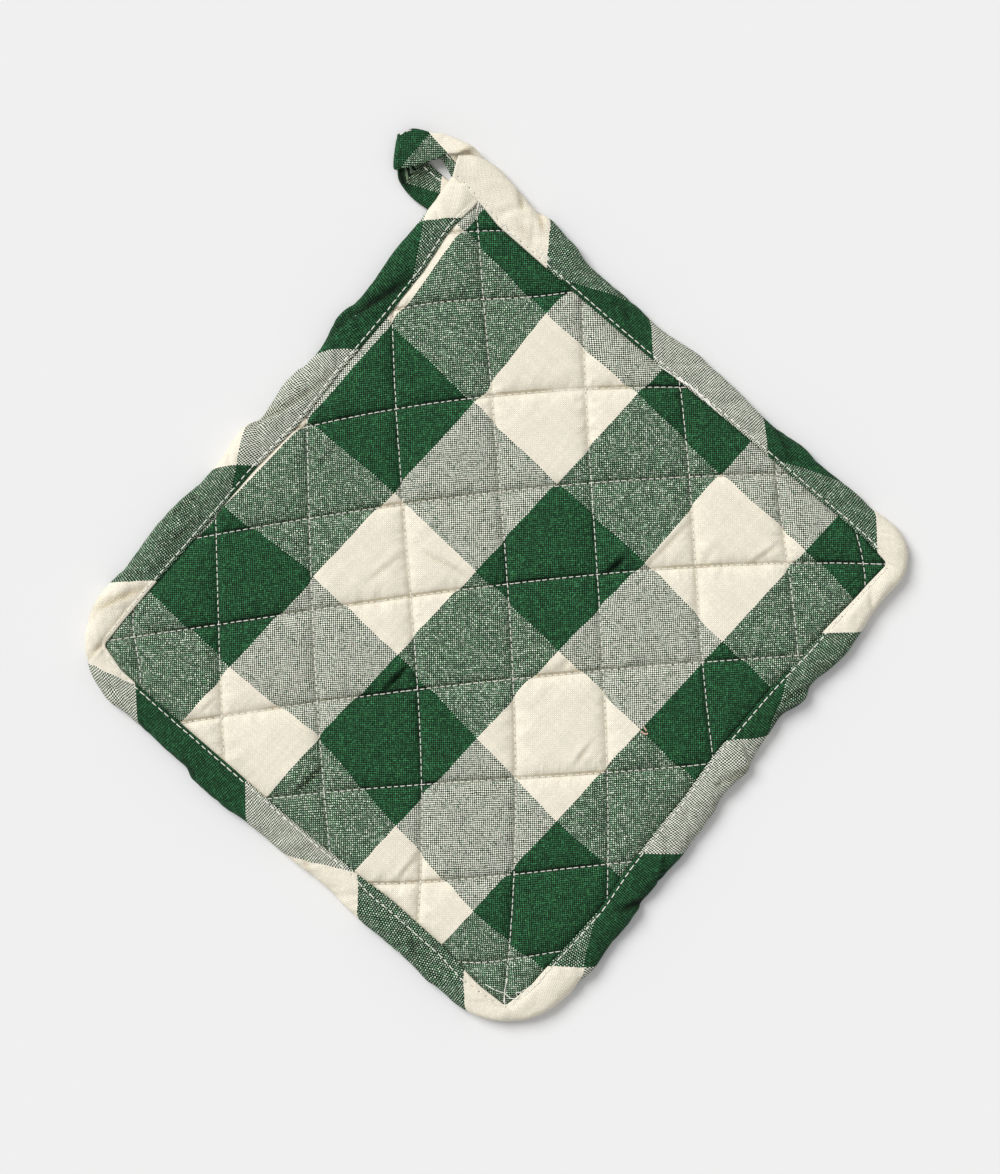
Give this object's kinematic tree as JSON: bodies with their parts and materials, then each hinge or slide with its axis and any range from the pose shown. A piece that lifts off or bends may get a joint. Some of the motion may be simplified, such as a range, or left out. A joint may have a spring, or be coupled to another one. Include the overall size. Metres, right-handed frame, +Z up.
{
  "type": "pot holder",
  "caption": "Square quilted pot holder in gingham cotton with a checked bias binding and a small tape loop folded out at one corner, lying flat.",
  "frame": {"origin": "middle of the whole outline, loop included, on the underside", "axes": "+Z up out of the quilted front, +X and +Y along two of the sides, with the loop at the corner towards -X and +Y"},
  "size_m": [0.2442, 0.231, 0.0082],
  "materials": {
    "quilted_gingham": "matt plain-weave cotton in green and cream checks, quilted with cream thread",
    "binding_gingham": "matt plain-weave cotton in green and cream checks, cut on the bias and topstitched"
  },
  "bodies": {
    "root": {"quilted_pad": "quilted_gingham", "edge_binding": "binding_gingham", "hanging_loop": "binding_gingham"}
  },
  "joints": []
}
